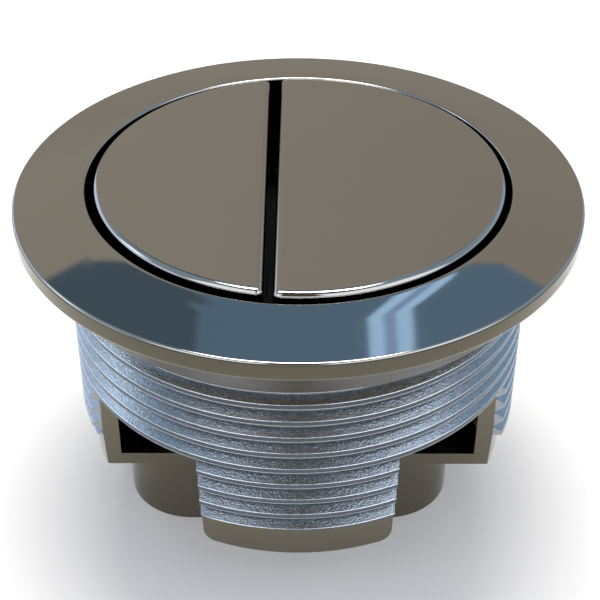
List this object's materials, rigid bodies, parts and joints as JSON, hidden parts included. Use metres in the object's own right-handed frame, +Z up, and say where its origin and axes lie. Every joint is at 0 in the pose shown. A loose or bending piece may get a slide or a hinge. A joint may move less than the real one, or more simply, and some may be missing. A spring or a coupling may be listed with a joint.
{
  "type": "push button cistern actuator",
  "caption": "Round dual flush push button with a threaded four-legged shell, sprung half and full buttons, and a plunger collar for a cistern lid.",
  "frame": {"origin": "centre of the flange's seat, on the thread's axis, in the plane where the flange rests on the lid", "axes": "+Z up out of the lid along the thread's axis, -Y towards the front leg that the picture shows, +X towards the full flush button"},
  "size_m": [0.072, 0.072, 0.0514],
  "materials": {
    "plated_shell": "bright chrome plate, satin on the thread",
    "black_guide": "matt black moulding",
    "screw_steel": "bright stainless",
    "plated_cap": "bright chrome plate",
    "black_slider": "matt black moulding",
    "spring_steel": "drawn stainless wire",
    "soft_rubber": "soft black rubber",
    "clip_steel": "spring steel",
    "natural_nylon": "natural nylon"
  },
  "bodies": {
    "housing": {"threaded_shell": "plated_shell", "guide_block": "black_guide", "front_guide_screw": "screw_steel", "rear_guide_screw": "screw_steel", "half_flush_spring": "spring_steel", "full_flush_spring": "spring_steel"},
    "half_flush_button": {"half_flush_cap": "plated_cap", "half_flush_slider": "black_slider", "half_flush_stop_bumper": "soft_rubber", "half_flush_retaining_clip": "clip_steel", "half_flush_adjusting_rod": "natural_nylon", "half_flush_jam_nut": "natural_nylon", "half_flush_foot": "soft_rubber"},
    "full_flush_button": {"full_flush_cap": "plated_cap", "full_flush_slider": "black_slider", "full_flush_stop_bumper": "soft_rubber", "full_flush_retaining_clip": "clip_steel", "full_flush_adjusting_rod": "natural_nylon", "full_flush_jam_nut": "natural_nylon", "full_flush_foot": "soft_rubber"}
  },
  "joints": [
    {"name": "half_flush_press", "type": "slide", "parent": "housing", "child": "half_flush_button", "axis": [0, 0, -1], "range_m": [0, 0.007], "stiffness_N_per_m": 400, "springref_m": -0.006, "deforming": ["half_flush_spring"]},
    {"name": "full_flush_press", "type": "slide", "parent": "housing", "child": "full_flush_button", "axis": [0, 0, -1], "range_m": [0, 0.007], "stiffness_N_per_m": 400, "springref_m": -0.006, "deforming": ["full_flush_spring"]}
  ]
}
